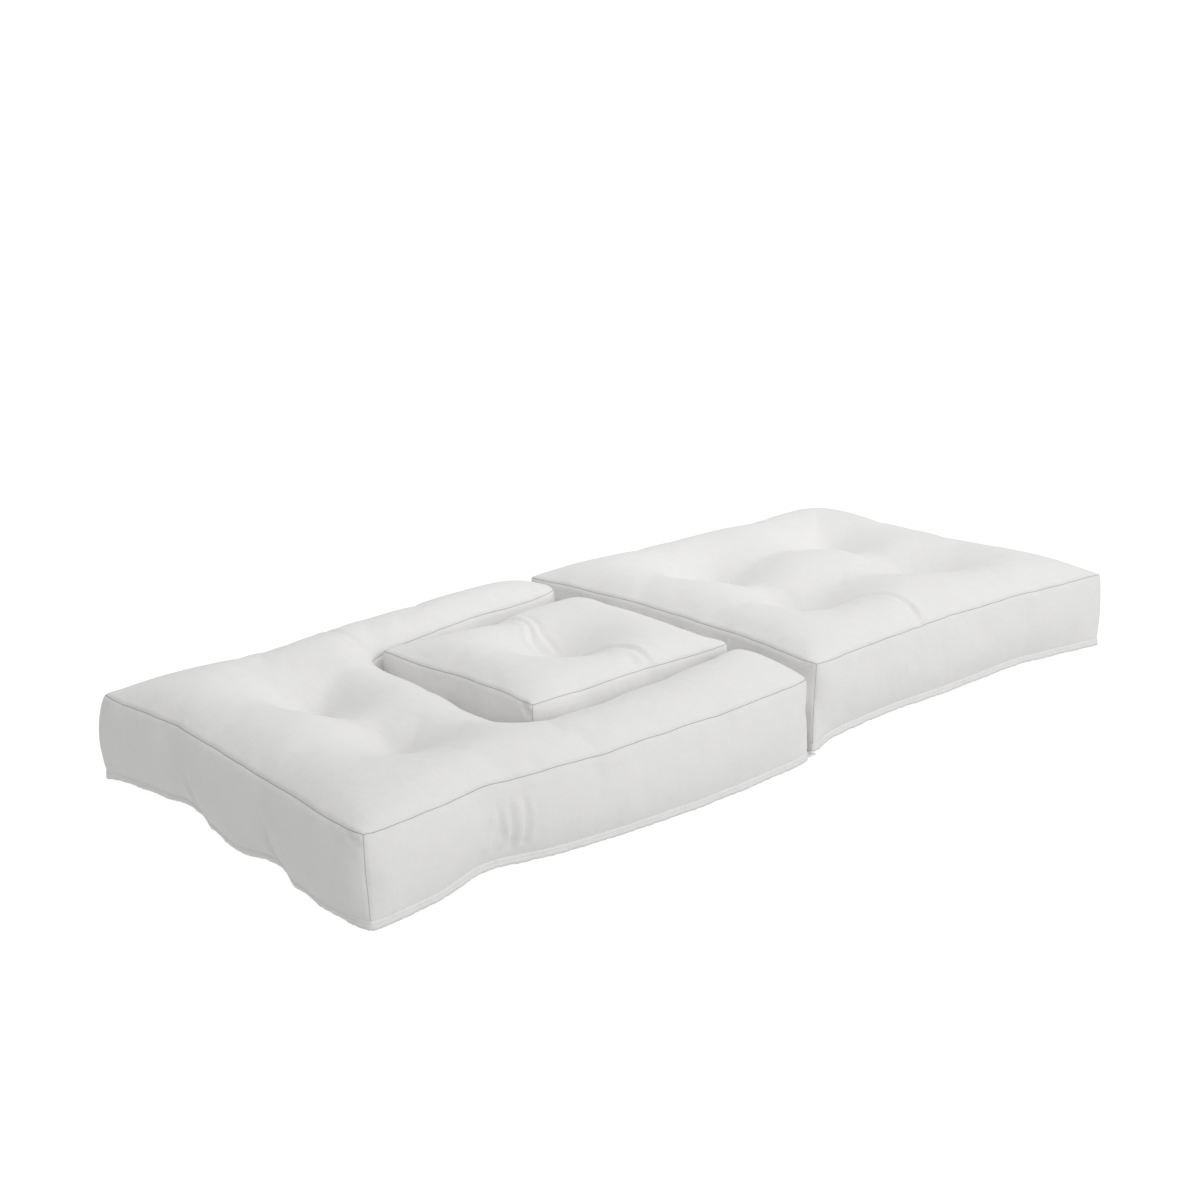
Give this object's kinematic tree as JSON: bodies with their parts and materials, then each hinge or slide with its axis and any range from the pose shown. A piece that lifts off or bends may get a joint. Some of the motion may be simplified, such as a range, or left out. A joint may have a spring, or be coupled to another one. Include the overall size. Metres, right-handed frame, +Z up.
{
  "type": "futon mattress",
  "caption": "Folding futon mattress: U-shaped back section with a loose seat cushion in its recess, strip-hinged to a square base section; boxed, tufted cloth covers over felt and foam.",
  "frame": {"origin": "centre of the footprint on the floor, with the mattress lying open", "axes": "+X along the length from the U-shaped back section towards the square base section, +Y across the width, +Z up"},
  "size_m": [1.786, 0.756, 0.184],
  "materials": {
    "cover_cloth": "matte",
    "seam_stitching": "matte",
    "cotton_felt": "matte",
    "foam_core": "matte",
    "tuft_felt": "matte",
    "tuft_twine": "matte"
  },
  "bodies": {
    "back_section": {"back_top_panel": "cover_cloth", "back_bottom_panel": "cover_cloth", "back_boxing_end": "cover_cloth", "back_boxing_near": "cover_cloth", "back_boxing_far": "cover_cloth", "back_boxing_near_tip": "cover_cloth", "back_boxing_far_tip": "cover_cloth", "back_boxing_near_arm": "cover_cloth", "back_boxing_far_arm": "cover_cloth", "back_boxing_recess": "cover_cloth", "back_top_seam": "seam_stitching", "back_bottom_seam": "seam_stitching", "back_upper_felt": "cotton_felt", "back_foam_core": "foam_core", "back_lower_felt": "cotton_felt", "back_top_tufts": "tuft_felt", "back_bottom_tufts": "tuft_felt", "back_tuft_twines": "tuft_twine", "hinge_near_back_half": "cover_cloth", "hinge_far_back_half": "cover_cloth"},
    "base_section": {"base_top_panel": "cover_cloth", "base_bottom_panel": "cover_cloth", "base_boxing_inner": "cover_cloth", "base_boxing_outer": "cover_cloth", "base_boxing_near": "cover_cloth", "base_boxing_far": "cover_cloth", "base_top_seam": "seam_stitching", "base_bottom_seam": "seam_stitching", "base_upper_felt": "cotton_felt", "base_foam_core": "foam_core", "base_lower_felt": "cotton_felt", "base_top_tufts": "tuft_felt", "base_bottom_tufts": "tuft_felt", "base_tuft_twines": "tuft_twine", "hinge_near_base_half": "cover_cloth", "hinge_far_base_half": "cover_cloth"},
    "seat_cushion": {"seat_top_panel": "cover_cloth", "seat_bottom_panel": "cover_cloth", "seat_boxing_inner": "cover_cloth", "seat_boxing_outer": "cover_cloth", "seat_boxing_near": "cover_cloth", "seat_boxing_far": "cover_cloth", "seat_top_seam": "seam_stitching", "seat_bottom_seam": "seam_stitching", "seat_upper_felt": "cotton_felt", "seat_foam_core": "foam_core", "seat_lower_felt": "cotton_felt", "seat_top_tufts": "tuft_felt", "seat_bottom_tufts": "tuft_felt", "seat_tuft_twines": "tuft_twine"}
  },
  "joints": [
    {"name": "fold", "type": "hinge", "parent": "back_section", "child": "base_section", "pos_m": [0.032, 0, 0], "axis": [0, 1, 0], "range_deg": [-6, 176]},
    {"name": "seat_cushion_lift", "type": "slide", "parent": "back_section", "child": "seat_cushion", "axis": [0, 0, 1], "range_m": [0, 0.25]}
  ]
}
